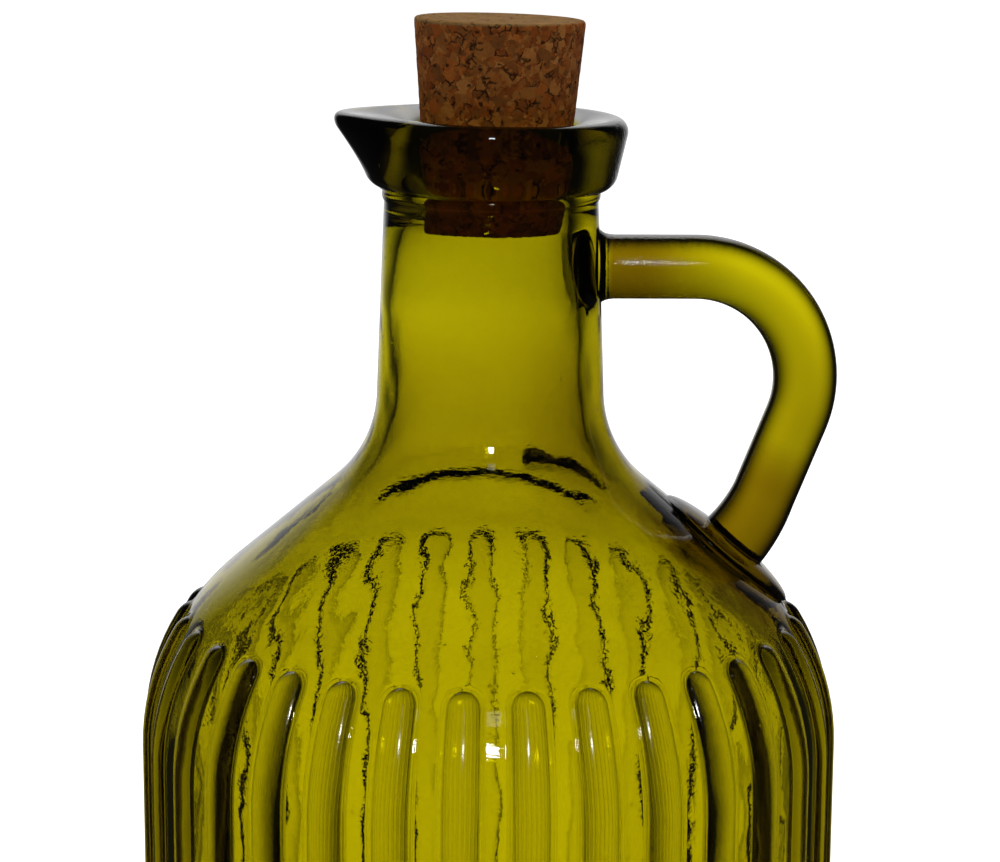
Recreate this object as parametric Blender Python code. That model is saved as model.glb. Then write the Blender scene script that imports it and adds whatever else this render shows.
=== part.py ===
"""Oil cruet: a ribbed green glass bottle with a pouring lip and a loop handle, and its cork stopper.

The cruet stands on Z = 0 with its axis on Z. The spout points to -X and the handle to +X.
The bottle is one piece of glass: the moulded body, the neck, the tooled lip and the solid
glass handle are fused. The tapered stopper rests in the mouth, clear of the glass.
"""

import math

import bmesh
import bpy
from mathutils import Matrix, Vector

MM = 0.001

# Moulded body: a straight wall with raised ribs, and a round shoulder that ends in a cone.
WALL_HEIGHT = 95.0 * MM  # the shoulder starts here
CREST_RADIUS = 50.0 * MM  # over the ribs
RIB_HEIGHT = 0.8 * MM
RIB_COUNT = 33
RIB_PHASE = math.radians(3.0)  # a gap faces the front, and a rib faces the back
RIB_HALF_WIDTH = 2.8 * MM
RIB_FOOT_Z = 9.0 * MM  # the lower tips of the ribs
RIB_TIP_TURN = math.radians(36.5)  # the upper tips, as a turn round the shoulder
LAND_RADIUS = CREST_RADIUS - RIB_HEIGHT
SHOULDER_RADIUS = 31.6 * MM
CONE_SLOPE = math.radians(49.75)  # from the vertical
HEEL_RADIUS = 5.0 * MM

# Drawn neck: it narrows a little upwards, and meets the cone in a wide hollow curve.
NECK_RADIUS = 16.1 * MM  # at the top of the hollow curve
NECK_TAPER = 0.038
NECK_CURVE_RADIUS = 17.6 * MM

# Tooled mouth: a ring, a flared lip with a round rim, a funnel and the throat that holds the cork.
RIM_Z = WALL_HEIGHT + 89.4 * MM
RIM_ROUND = 1.9 * MM
LIP_RADIUS = 19.05 * MM
LIP_FLARE = math.radians(12.7)  # of its outer side, from the vertical
LIP_FOOT_ROUND = 2.95 * MM
LIP_FOOT_CENTRE = (14.9 * MM, RIM_Z - 7.4 * MM)  # radius and height of the lower edge's centre
LIP_TILT = math.radians(1.1)  # the spout side stands a little higher
SPOUT_REACH = 3.0 * MM  # beyond the round lip
SPOUT_HALF_ANGLE = math.radians(24.0)
PINCH_DEPTH = 1.0 * MM  # the lip draws in on each side of the spout
PINCH_ANGLE = math.radians(50.0)
PINCH_HALF_ANGLE = math.radians(16.0)
THROAT_RADIUS = 11.0 * MM
THROAT_Z = RIM_Z - 4.4 * MM
THROAT_OFFSET = 0.65 * MM  # the bore sits off centre, towards the handle

# Inside of the glass.
WALL = 3.6 * MM
FLOOR_Z = 6.0 * MM
FLOOR_CROWN = 2.0 * MM  # the inner floor rises towards its middle
BORE_LOW_Z = WALL_HEIGHT + 73.5 * MM
BORE_LOW_RADIUS = 11.4 * MM

# Handle: a solid glass rod, pressed onto the neck and onto an oval pad on the shoulder.
ROD_RADIUS = 4.55 * MM
ARM_Z = WALL_HEIGHT + 68.0 * MM
ARM_START_X = 13.1 * MM  # inside the wall of the neck
BEND_X = 28.9 * MM
BEND_RADIUS = 15.9 * MM
LEG_LEAN = math.radians(21.4)  # from the vertical, inwards
LEG_LENGTH = 14.0 * MM
FOOT_BEND_RADIUS = 12.0 * MM
FOOT_LENGTH = 4.6 * MM  # its end lies inside the wall of the shoulder
ROOT_FLARE = 1.3 * MM
PAD_HALF = (11.5 * MM, 8.5 * MM, 1.9 * MM)  # along the slope, across it, and out of it
PAD_CENTRE = (34.0 * MM, WALL_HEIGHT + 27.1 * MM)  # X and Z

# Stopper.
CORK_TOP_RADIUS = 12.0 * MM
CORK_LOW_RADIUS = 9.5 * MM
CORK_LENGTH = 29.2 * MM
CORK_LOW_X = 0.39 * MM
CORK_LOW_Z = WALL_HEIGHT + 73.5 * MM
CORK_LEAN = math.radians(1.36)  # towards the handle
CORK_BEVEL = 0.5 * MM

# Facets.
UPPER_COLUMNS = 68
INNER_COLUMNS = 44
ROD_SIDES = 16
BEND_STEPS = 12


def arc(centre, radius, start, end, steps):
    """Points (radius, height) on an arc, from the angle start to the angle end, both included."""
    angles = [start + (end - start) * step / steps for step in range(steps + 1)]
    return [(centre[0] + radius * math.cos(a), centre[1] + radius * math.sin(a)) for a in angles]


def shoulder_centre():
    return LAND_RADIUS - SHOULDER_RADIUS, WALL_HEIGHT


def neck_curve_centre():
    """Centre of the hollow curve whose lower end meets the cone that the shoulder ends in."""
    across, low = shoulder_centre()
    cone_start = (
        across + SHOULDER_RADIUS * math.cos(CONE_SLOPE),
        low + SHOULDER_RADIUS * math.sin(CONE_SLOPE),
    )
    cone_end_radius = NECK_RADIUS + NECK_CURVE_RADIUS * (1 - math.cos(CONE_SLOPE))
    run = (cone_start[0] - cone_end_radius) / math.sin(CONE_SLOPE)
    cone_end_z = cone_start[1] + run * math.cos(CONE_SLOPE)
    return NECK_RADIUS + NECK_CURVE_RADIUS, cone_end_z + NECK_CURVE_RADIUS * math.sin(CONE_SLOPE)


def neck_radius(z):
    return NECK_RADIUS - NECK_TAPER * (z - neck_curve_centre()[1])


def shoulder_turn(z):
    """How far the wall has turned inwards at this height."""
    return math.asin(min(1.0, max(0.0, (z - WALL_HEIGHT) / SHOULDER_RADIUS)))


def rib_profile():
    """The land between the ribs, from the middle of the base to just past the ribs' upper tips."""
    flat_radius = LAND_RADIUS - HEEL_RADIUS
    heel = arc((flat_radius, HEEL_RADIUS), HEEL_RADIUS, -math.pi / 2, 0, 3)
    foot = [(LAND_RADIUS, RIB_FOOT_Z + RIB_HALF_WIDTH * part) for part in (0.0, 0.15, 0.5, 1.0)]
    tip_turn = RIB_HALF_WIDTH / SHOULDER_RADIUS
    turns = [RIB_TIP_TURN * part for part in (0.0, 0.24, 0.48, 0.70)]
    turns += [RIB_TIP_TURN - tip_turn * part for part in (1.0, 0.5, 0.15, 0.0)]
    across, low = shoulder_centre()
    shoulder = [
        (across + SHOULDER_RADIUS * math.cos(turn), low + SHOULDER_RADIUS * math.sin(turn))
        for turn in turns
    ]
    return [(0.0, 0.0)] + heel + foot + shoulder


def mouth_profile():
    """From the shoulder above the ribs up the neck, over the lip and down into the throat."""
    shoulder = arc(shoulder_centre(), SHOULDER_RADIUS, RIB_TIP_TURN + 0.12, CONE_SLOPE, 1)
    neck_curve = arc(neck_curve_centre(), NECK_CURVE_RADIUS, math.pi + CONE_SLOPE, math.pi, 4)
    ring_z = RIM_Z - 11.9 * MM
    ring = [
        (neck_radius(ring_z), ring_z),
        (15.45 * MM, ring_z + 0.45 * MM),
        (15.5 * MM, ring_z + 1.1 * MM),
        (15.15 * MM, ring_z + 1.55 * MM),
    ]
    lip_foot = arc(LIP_FOOT_CENTRE, LIP_FOOT_ROUND, math.radians(-80), -LIP_FLARE, 3)
    rim_centre = (LIP_RADIUS - RIM_ROUND, RIM_Z - RIM_ROUND)
    rim = arc(rim_centre, RIM_ROUND, -LIP_FLARE, math.pi / 2, 4)
    funnel = [(THROAT_RADIUS + 0.75 * MM, RIM_Z - 3.1 * MM), (THROAT_RADIUS, THROAT_Z)]
    return shoulder + neck_curve + ring + lip_foot + rim + funnel


def cavity_profile():
    """From the bore under the throat down the inside of the glass to the middle of the floor."""
    outer = neck_curve_centre()
    bore = [(BORE_LOW_RADIUS, BORE_LOW_Z)]
    neck_curve = arc(outer, NECK_CURVE_RADIUS + WALL, math.pi, math.pi + CONE_SLOPE, 3)
    shoulder = arc(shoulder_centre(), SHOULDER_RADIUS - WALL, CONE_SLOPE, 0, 4)
    inner_heel = 6.0 * MM
    heel_centre = (LAND_RADIUS - WALL - inner_heel, FLOOR_Z + inner_heel)
    heel = arc(heel_centre, inner_heel, 0, -math.pi / 2, 3)
    crown = [(heel_centre[0] * 0.5, FLOOR_Z + FLOOR_CROWN * 0.75), (0.0, FLOOR_Z + FLOOR_CROWN)]
    return bore + neck_curve + shoulder + heel + crown


def spin_profile(bm, profile, columns):
    """Turns the profile once round Z, and returns its points."""
    before = set(bm.verts)
    points = [bm.verts.new((radius, 0.0, z)) for radius, z in profile]
    lines = [bm.edges.new(pair) for pair in zip(points, points[1:])]
    bmesh.ops.spin(
        bm,
        geom=points + lines,
        cent=(0.0, 0.0, 0.0),
        axis=(0.0, 0.0, 1.0),
        angle=math.tau,
        steps=columns,
        use_merge=True,
    )
    turned = [vert for vert in bm.verts if vert not in before]
    bmesh.ops.remove_doubles(bm, verts=turned, dist=0.001 * MM)
    return [vert for vert in turned if vert.is_valid]


def rib_relief(across, z):
    """Height of a rib above the land: flat-topped, with round tips."""
    upper = (shoulder_turn(z) - RIB_TIP_TURN) * SHOULDER_RADIUS + RIB_HALF_WIDTH
    lower = RIB_FOOT_Z + RIB_HALF_WIDTH - z
    along = max(0.0, upper, lower)
    distance = min(1.0, math.hypot(across, along) / RIB_HALF_WIDTH)
    return RIB_HEIGHT * min(1.0, math.sqrt(1 - distance**2) / math.sqrt(0.75))


def raise_ribs(verts):
    """Moves the columns to the edges and crests of the ribs, and lifts the crests off the land."""
    pitch = math.tau / RIB_COUNT
    places = [part * RIB_HALF_WIDTH for part in (-1.0, -0.5, 0.5, 1.0)]
    per_rib = len(places)
    for vert in verts:
        radius = math.hypot(vert.co.x, vert.co.y)
        if radius < MM:
            continue
        column = round(math.atan2(vert.co.y, vert.co.x) / pitch * per_rib)
        rib, place = divmod(column + 1, per_rib)
        angle = RIB_PHASE + rib * pitch + places[place] / LAND_RADIUS
        outward = Vector((math.cos(angle), math.sin(angle), 0.0))
        turn = shoulder_turn(vert.co.z)
        normal = outward * math.cos(turn) + Vector((0.0, 0.0, math.sin(turn)))
        relief = rib_relief(places[place], vert.co.z)
        vert.co = outward * radius + Vector((0.0, 0.0, vert.co.z)) + normal * relief


def bump(angle, centre, half_angle):
    return math.exp(-(((angle - centre) / half_angle) ** 2))


def tool_lip(verts):
    """Draws the spout out of the round lip, pinches it on both sides and tilts the lip."""
    lip_low = RIM_Z - 8.3 * MM
    groove_z = RIM_Z - 10.25 * MM
    turn = Matrix.Rotation(LIP_TILT, 4, "Y")
    pivot = Vector((0.0, 0.0, RIM_Z - 5.0 * MM))
    for vert in verts:
        radius = math.hypot(vert.co.x, vert.co.y)
        if vert.co.z < groove_z or radius < THROAT_RADIUS + 0.01 * MM:
            continue
        from_spout = abs(math.atan2(vert.co.y, -vert.co.x))
        lift = max(0.0, (vert.co.z - lip_low) / (RIM_Z - lip_low))
        outness = (radius - THROAT_RADIUS) / (LIP_RADIUS - RIM_ROUND - THROAT_RADIUS)
        draw = SPOUT_REACH * bump(from_spout, 0.0, SPOUT_HALF_ANGLE)
        draw -= PINCH_DEPTH * bump(from_spout, PINCH_ANGLE, PINCH_HALF_ANGLE)
        stretch = 1 + draw * lift**1.2 * min(1.0, outness) / radius
        vert.co.x *= stretch
        vert.co.y *= stretch
        vert.co = pivot + turn @ (vert.co - pivot)


def shift_bore(verts):
    """Sets the throat and the bore off centre. The shift fades out down the neck."""
    fade_low = WALL_HEIGHT + 40.0 * MM
    for vert in verts:
        radius = math.hypot(vert.co.x, vert.co.y)
        if radius < THROAT_RADIUS + MM and vert.co.z > fade_low:
            vert.co.x += THROAT_OFFSET * min(1.0, (vert.co.z - fade_low) / (THROAT_Z - fade_low))


def open_loop_of(bm, verts):
    """The open edges of a turned surface."""
    inside = set(verts)
    return [e for e in bm.edges if e.is_boundary and inside.issuperset(e.verts)]


def material(name, color, roughness, transmission=0.0):
    made = bpy.data.materials.new(name)
    made.use_nodes = True
    shader = made.node_tree.nodes["Principled BSDF"]
    shader.inputs["Base Color"].default_value = (*color, 1.0)
    shader.inputs["Roughness"].default_value = roughness
    shader.inputs["Transmission Weight"].default_value = transmission
    made.diffuse_color = (*color, 1.0)
    return made


def finish_object(name, bm, made_of):
    """Closes the bmesh into a named, smooth-shaded object."""
    bmesh.ops.triangulate(bm, faces=bm.faces[:])
    bmesh.ops.recalc_face_normals(bm, faces=bm.faces[:])
    mesh = bpy.data.meshes.new(name)
    bm.to_mesh(mesh)
    bm.free()
    mesh.shade_smooth()
    mesh.set_sharp_from_angle(angle=math.radians(40))
    made = bpy.data.objects.new(name, mesh)
    made.data.materials.append(made_of)
    bpy.context.scene.collection.objects.link(made)
    return made


def build_vessel(glass):
    """The bottle without its handle: three turned surfaces, bridged into one closed shell."""
    bm = bmesh.new()
    ribbed = spin_profile(bm, rib_profile(), RIB_COUNT * 4)
    mouth = spin_profile(bm, mouth_profile(), UPPER_COLUMNS)
    cavity = spin_profile(bm, cavity_profile(), INNER_COLUMNS)
    raise_ribs(ribbed)
    ribbed_top = open_loop_of(bm, ribbed)
    mouth_loops = open_loop_of(bm, mouth)
    middle = (WALL_HEIGHT + RIM_Z) / 2
    mouth_low = [e for e in mouth_loops if e.verts[0].co.z < middle]
    mouth_top = [e for e in mouth_loops if e.verts[0].co.z > middle]
    cavity_top = open_loop_of(bm, cavity)
    tool_lip(mouth)
    shift_bore(mouth + cavity)
    bmesh.ops.bridge_loops(bm, edges=ribbed_top + mouth_low)
    bmesh.ops.bridge_loops(bm, edges=mouth_top + cavity_top)
    return finish_object("bottle", bm, glass)


def rod_path():
    """Centre line of the handle in the XZ plane with its radius: (x, z, radius)."""
    neck_x = neck_radius(ARM_Z)
    flare = [(ARM_START_X, ROOT_FLARE), (neck_x, ROOT_FLARE * 0.85)]
    flare += [(neck_x + 0.45 * MM, ROOT_FLARE * 0.3), (neck_x + 1.3 * MM, 0.0)]
    path = [(x, ARM_Z, ROD_RADIUS + extra) for x, extra in flare]
    centre = (BEND_X, ARM_Z - BEND_RADIUS)
    path += [(x, z, ROD_RADIUS) for x, z in arc(centre, BEND_RADIUS, math.pi / 2, -LEG_LEAN, BEND_STEPS)]
    leg_x, leg_z, _ = path[-1]
    leg_x -= LEG_LENGTH * math.sin(LEG_LEAN)
    leg_z -= LEG_LENGTH * math.cos(LEG_LEAN)
    foot_lean = math.pi / 2 - CONE_SLOPE
    centre = (
        leg_x - FOOT_BEND_RADIUS * math.cos(LEG_LEAN),
        leg_z + FOOT_BEND_RADIUS * math.sin(LEG_LEAN),
    )
    foot = arc(centre, FOOT_BEND_RADIUS, -LEG_LEAN, -foot_lean, 3)
    path += [(x, z, ROD_RADIUS + 0.15 * MM * step) for step, (x, z) in enumerate(foot)]
    foot_x, foot_z, _ = path[-1]
    end_x = foot_x - FOOT_LENGTH * math.sin(foot_lean)
    end_z = foot_z - FOOT_LENGTH * math.cos(foot_lean)
    return path + [(end_x, end_z, ROD_RADIUS + 0.9 * MM)]


def build_rod(glass):
    """Carries a circle along the centre line, one extrusion a step, and closes both ends."""
    path = rod_path()
    across = Vector((0.0, 1.0, 0.0))
    frames = []
    for step, (x, z, radius) in enumerate(path):
        before = path[max(0, step - 1)]
        after = path[min(len(path) - 1, step + 1)]
        heading = Vector((after[0] - before[0], 0.0, after[1] - before[1])).normalized()
        turn = Matrix((across.cross(heading), across, heading)).transposed()
        frames.append(Matrix.LocRotScale(Vector((x, 0.0, z)), turn, Vector((radius,) * 3)))
    bm = bmesh.new()
    ring = bmesh.ops.create_circle(bm, segments=ROD_SIDES, radius=1.0)["verts"]
    bmesh.ops.transform(bm, matrix=frames[0], verts=ring)
    edges = bm.edges[:]
    for last, frame in zip(frames, frames[1:]):
        grown = bmesh.ops.extrude_edge_only(bm, edges=edges)["geom"]
        ring = [item for item in grown if isinstance(item, bmesh.types.BMVert)]
        edges = [edge for edge in bm.edges if edge.verts[0] in ring and edge.verts[1] in ring]
        bmesh.ops.transform(bm, matrix=frame @ last.inverted(), verts=ring)
    bmesh.ops.holes_fill(bm, edges=[edge for edge in bm.edges if edge.is_boundary])
    return finish_object("rod", bm, glass)


def build_pad(glass):
    """A flat oval gather of glass, square to the cone."""
    bm = bmesh.new()
    bmesh.ops.create_uvsphere(bm, u_segments=20, v_segments=8, radius=1.0)
    bmesh.ops.scale(bm, vec=PAD_HALF, verts=bm.verts)
    bmesh.ops.rotate(bm, matrix=Matrix.Rotation(math.pi / 2 - CONE_SLOPE, 3, "Y"), verts=bm.verts)
    bmesh.ops.translate(bm, vec=(PAD_CENTRE[0], 0.0, PAD_CENTRE[1]), verts=bm.verts)
    return finish_object("pad", bm, glass)


def fuse(vessel, pieces):
    """Unites the pieces with the vessel in one solid, and removes them."""
    group = bpy.data.collections.new("handle_pieces")
    bpy.context.scene.collection.children.link(group)
    for piece in pieces:
        bpy.context.scene.collection.objects.unlink(piece)
        group.objects.link(piece)
    union = vessel.modifiers.new("union", "BOOLEAN")
    union.operation = "UNION"
    union.operand_type = "COLLECTION"
    union.collection = group
    union.solver = "EXACT"
    graph = bpy.context.evaluated_depsgraph_get()
    fused = bpy.data.meshes.new_from_object(vessel.evaluated_get(graph))
    vessel.modifiers.clear()
    vessel.data = fused
    for piece in pieces:
        bpy.data.objects.remove(piece)
    bpy.data.collections.remove(group)


def build_cork(cork):
    """A tapered plug with eased edges. Its origin is the middle of its lower face."""
    bm = bmesh.new()
    bmesh.ops.create_cone(
        bm,
        cap_ends=True,
        segments=48,
        radius1=CORK_LOW_RADIUS,
        radius2=CORK_TOP_RADIUS,
        depth=CORK_LENGTH,
    )
    bmesh.ops.translate(bm, vec=(0.0, 0.0, CORK_LENGTH / 2), verts=bm.verts)
    ends = [e for e in bm.edges if abs(e.verts[0].co.z - e.verts[1].co.z) < 0.01 * MM]
    bmesh.ops.bevel(
        bm, geom=ends, offset=CORK_BEVEL, segments=2, profile=0.5, affect="EDGES", material=-1
    )
    made = finish_object("cork", bm, cork)
    made.location = (CORK_LOW_X, 0.0, CORK_LOW_Z)
    made.rotation_euler = (0.0, CORK_LEAN, 0.0)
    return made


def main():
    for old in list(bpy.data.objects):
        bpy.data.objects.remove(old)
    glass = material("olive_green_glass", (0.39, 0.33, 0.01), 0.02, 0.9)
    cork = material("granulated_cork", (0.17, 0.075, 0.028), 0.85)
    vessel = build_vessel(glass)
    fuse(vessel, [build_rod(glass), build_pad(glass)])
    build_cork(cork)


main()
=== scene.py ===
"""Looks of an oil cruet: a ribbed green glass bottle with a fused handle, and its cork stopper.

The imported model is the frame, and every piece stays in its place. The spout points to -X and the
handle to +X.
"""

import math

import bmesh
import bpy
from mathutils import Matrix, Vector, noise


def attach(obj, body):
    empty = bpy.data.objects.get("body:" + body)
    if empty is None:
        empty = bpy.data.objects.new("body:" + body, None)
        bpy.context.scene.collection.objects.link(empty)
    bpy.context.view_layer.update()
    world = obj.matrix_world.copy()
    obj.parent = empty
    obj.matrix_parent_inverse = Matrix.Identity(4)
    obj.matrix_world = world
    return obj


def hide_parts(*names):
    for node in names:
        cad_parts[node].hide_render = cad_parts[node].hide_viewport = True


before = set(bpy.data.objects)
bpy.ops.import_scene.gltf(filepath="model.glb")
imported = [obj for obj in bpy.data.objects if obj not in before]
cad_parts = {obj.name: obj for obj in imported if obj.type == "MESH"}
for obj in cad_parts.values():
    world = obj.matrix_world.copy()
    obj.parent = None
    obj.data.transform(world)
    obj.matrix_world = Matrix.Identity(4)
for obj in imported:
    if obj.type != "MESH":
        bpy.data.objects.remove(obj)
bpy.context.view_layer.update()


# Bottle, outside. The body is olive-green soda glass blown into a ribbed mould. Its straight wall
# and round shoulder carry low beads with round ends, which meet the wall in a small sharp step.

MM = 0.001
WALL_HEIGHT = 95.0 * MM  # the shoulder starts here
LAND_RADIUS = 49.0 * MM  # between the ribs
HEEL_RADIUS = 5.0 * MM
SHOULDER_RADIUS = 31.6 * MM
CONE_SLOPE = math.radians(49.75)  # from the vertical, where the shoulder ends
RIB_COUNT = 33
RIB_PITCH = math.tau / RIB_COUNT
RIB_PHASE = math.radians(3.0)  # a gap faces the front, and a rib faces the back
RIB_HALF_WIDTH = 2.8 * MM
RIB_HEIGHT = 1.08 * MM
RIB_FOOT_Z = 9.0 * MM  # the lower tips of the ribs
RIB_TIP_TURN = math.radians(36.6)  # the upper tips, as a turn round the shoulder
BEAD_RADIUS = 3.7 * MM  # a rib's round crest, in cross-section
FLANK = (2.25 * MM, 2.62 * MM)  # from the rib's middle line: where it falls to the shelf
SHELF_HEIGHT = 0.06 * MM
STEP = (RIB_HALF_WIDTH, 2.92 * MM)  # where the shelf drops to the wall
RING_PLACES = [place * MM for place in (0.0, 0.45, 0.9, 1.35, 1.7, 2.0)]  # rows over the crest
RING_PLACES += [FLANK[0], 2.37 * MM, 2.49 * MM, FLANK[1], STEP[0], 2.86 * MM, STEP[1]]
RING_PLACES += [3.4 * MM, 4.5 * MM]  # rows on the wall beside the rib


def on_circle(centre, radius, angle):
    return centre[0] + radius * math.cos(angle), centre[1] + radius * math.sin(angle)


def arc(centre, radius, start, end, steps):
    """Points (radius, height) on an arc, from the angle start to the angle end, both included."""
    angles = [start + (end - start) * step / steps for step in range(steps + 1)]
    return [on_circle(centre, radius, angle) for angle in angles]


def spread(start, end, steps):
    """Points between two points, both left out."""
    shares = [step / (steps + 1) for step in range(1, steps + 1)]
    return [tuple(a + (b - a) * share for a, b in zip(start, end)) for share in shares]


def smooth(low, high, value):
    """0 below low, 1 above high, and smooth between."""
    share = min(1.0, max(0.0, (value - low) / (high - low)))
    return share * share * (3 - 2 * share)


def shoulder_point(turn, radius=SHOULDER_RADIUS):
    """The point (radius, height) where the shoulder has turned inwards this far."""
    return (
        LAND_RADIUS - SHOULDER_RADIUS + radius * math.cos(turn),
        WALL_HEIGHT + radius * math.sin(turn),
    )


def shoulder_turn(z):
    """How far the wall has turned inwards at this height."""
    return math.asin(min(1.0, max(0.0, (z - WALL_HEIGHT) / SHOULDER_RADIUS)))


def spin_profile(bm, profile, columns):
    """Turns the profile once round Z, and returns its points."""
    before = set(bm.verts)
    points = [bm.verts.new((radius, 0.0, z)) for radius, z in profile]
    lines = [bm.edges.new(pair) for pair in zip(points, points[1:])]
    bmesh.ops.spin(
        bm,
        geom=points + lines,
        cent=(0.0, 0.0, 0.0),
        axis=(0.0, 0.0, 1.0),
        angle=math.tau,
        steps=columns,
        use_merge=True,
    )
    turned = [vert for vert in bm.verts if vert not in before]
    bmesh.ops.remove_doubles(bm, verts=turned, dist=0.001 * MM)
    return [vert for vert in turned if vert.is_valid]


def rib_profile():
    """The wall between the ribs, from the middle of the base to just past the ribs' upper tips."""
    flat_radius = LAND_RADIUS - HEEL_RADIUS
    base = [(0.0, 0.0)] + spread((0.0, 0.0), (flat_radius, 0.0), 2)
    heel = arc((flat_radius, HEEL_RADIUS), HEEL_RADIUS, -math.pi / 2, 0, 6)
    lower_end = RIB_FOOT_Z + RIB_HALF_WIDTH
    foot = [(LAND_RADIUS, lower_end - place) for place in reversed(RING_PLACES[:-1])]
    wall = spread((LAND_RADIUS, lower_end), (LAND_RADIUS, WALL_HEIGHT), 7)
    upper_end = RIB_TIP_TURN - RIB_HALF_WIDTH / SHOULDER_RADIUS
    turns = [upper_end * step / 9 for step in range(9)]
    turns += [upper_end + place / SHOULDER_RADIUS for place in RING_PLACES]
    return base + heel + foot + wall + [shoulder_point(turn) for turn in turns]


def rib_relief(distance):
    """Height of a rib above the land, at this distance from its middle line."""
    if distance <= FLANK[0]:
        return RIB_HEIGHT - BEAD_RADIUS + math.sqrt(BEAD_RADIUS**2 - distance**2)
    if distance < FLANK[1]:
        share = (distance - FLANK[0]) / (FLANK[1] - FLANK[0])
        slope = FLANK[0] / math.sqrt(BEAD_RADIUS**2 - FLANK[0] ** 2) * (FLANK[1] - FLANK[0])
        drop = rib_relief(FLANK[0]) - SHELF_HEIGHT
        fall = slope * share + (3 * drop - 2 * slope) * share**2 + (slope - 2 * drop) * share**3
        return SHELF_HEIGHT + drop - fall
    return SHELF_HEIGHT * (1 - smooth(*STEP, distance))


def raise_ribs(verts):
    """Gathers the columns into ribs, bends the rows round their tips, and lifts the beads."""
    places = [-place for place in reversed(RING_PLACES[1:-1])] + RING_PLACES
    per_rib = len(places)
    middle = places.index(0.0)
    for vert in verts:
        radius = math.hypot(vert.co.x, vert.co.y)
        if radius < MM:
            continue
        column = round(math.atan2(vert.co.y, vert.co.x) / RIB_PITCH * per_rib)
        rib, place = divmod(column + middle, per_rib)
        across = places[place]
        z = vert.co.z
        upper = (shoulder_turn(z) - RIB_TIP_TURN) * SHOULDER_RADIUS + RIB_HALF_WIDTH
        lower = RIB_FOOT_Z + RIB_HALF_WIDTH - z
        along = max(0.0, upper, lower)
        if 0.0 < along < RING_PLACES[-1]:
            ring = max(abs(across), along)
            square = smooth(RIB_HALF_WIDTH, RING_PLACES[-1], ring)
            pull = square + (1 - square) * ring / math.hypot(across, along)
            across *= pull
            along *= pull
            if upper > lower:
                turn = RIB_TIP_TURN + (along - RIB_HALF_WIDTH) / SHOULDER_RADIUS
                radius, z = shoulder_point(turn)
            else:
                z = RIB_FOOT_Z + RIB_HALF_WIDTH - along
        angle = RIB_PHASE + rib * RIB_PITCH + across / LAND_RADIUS
        outward = Vector((math.cos(angle), math.sin(angle), 0.0))
        turn = shoulder_turn(z)
        normal = outward * math.cos(turn) + Vector((0.0, 0.0, math.sin(turn)))
        relief = rib_relief(math.hypot(across, along))
        vert.co = outward * radius + Vector((0.0, 0.0, z)) + normal * relief


glass_body = bmesh.new()
ribbed = spin_profile(glass_body, rib_profile(), RIB_COUNT * (2 * len(RING_PLACES) - 2))
raise_ribs(ribbed)


# Bottle, neck and mouth. The neck is drawn from the same gather of glass, and the mouth is tooled
# while hot: a ring, a flared lip with a round rim, a spout pulled out on one side, and a funnel.

NECK_RADIUS = 16.1 * MM  # at the top of the hollow curve
NECK_TAPER = 0.038
NECK_CURVE_RADIUS = 17.6 * MM
RIM_Z = WALL_HEIGHT + 89.4 * MM
RIM_ROUND = 1.9 * MM
RING_Z = RIM_Z - 11.9 * MM
NECK_RING = (  # in millimetres: radius, and height above the ring's lower edge
    (15.24, 0.16),
    (15.33, 0.42),
    (15.38, 0.75),
    (15.36, 1.1),
    (15.27, 1.38),
    (15.13, 1.6),
)
LIP_RADIUS = 19.05 * MM
LIP_FLARE = math.radians(12.7)  # of its outer side, from the vertical
LIP_FOOT_ROUND = 2.95 * MM
LIP_FOOT_CENTRE = (14.9 * MM, RIM_Z - 7.4 * MM)  # radius and height of the lower edge's centre
LIP_TILT = math.radians(1.1)  # the spout side stands a little higher
SPOUT_REACH = 3.8 * MM  # beyond the round lip
SPOUT_HALF_ANGLE = math.radians(22.0)
PINCH_DEPTH = 1.0 * MM  # the lip draws in on each side of the spout
PINCH_ANGLE = math.radians(50.0)
PINCH_HALF_ANGLE = math.radians(16.0)
THROAT_RADIUS = 10.6 * MM
THROAT_Z = RIM_Z - 4.4 * MM
THROAT_OFFSET = 0.65 * MM  # the bore sits off centre, towards the handle
FUNNEL = (  # in millimetres: inwards from the middle of the rim, and down
    (1.0, 0.12),
    (2.0, 0.3),
    (3.0, 0.52),
    (4.0, 0.8),
    (4.8, 1.15),
    (5.4, 1.6),
)
MOUTH_COLUMNS = 150


def neck_curve_centre():
    """Centre of the hollow curve whose lower end meets the cone that the shoulder ends in."""
    cone_start = shoulder_point(CONE_SLOPE)
    cone_end_radius = NECK_RADIUS + NECK_CURVE_RADIUS * (1 - math.cos(CONE_SLOPE))
    run = (cone_start[0] - cone_end_radius) / math.sin(CONE_SLOPE)
    cone_end_z = cone_start[1] + run * math.cos(CONE_SLOPE)
    return NECK_RADIUS + NECK_CURVE_RADIUS, cone_end_z + NECK_CURVE_RADIUS * math.sin(CONE_SLOPE)


def neck_radius(z):
    return NECK_RADIUS - NECK_TAPER * (z - neck_curve_centre()[1])


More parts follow.
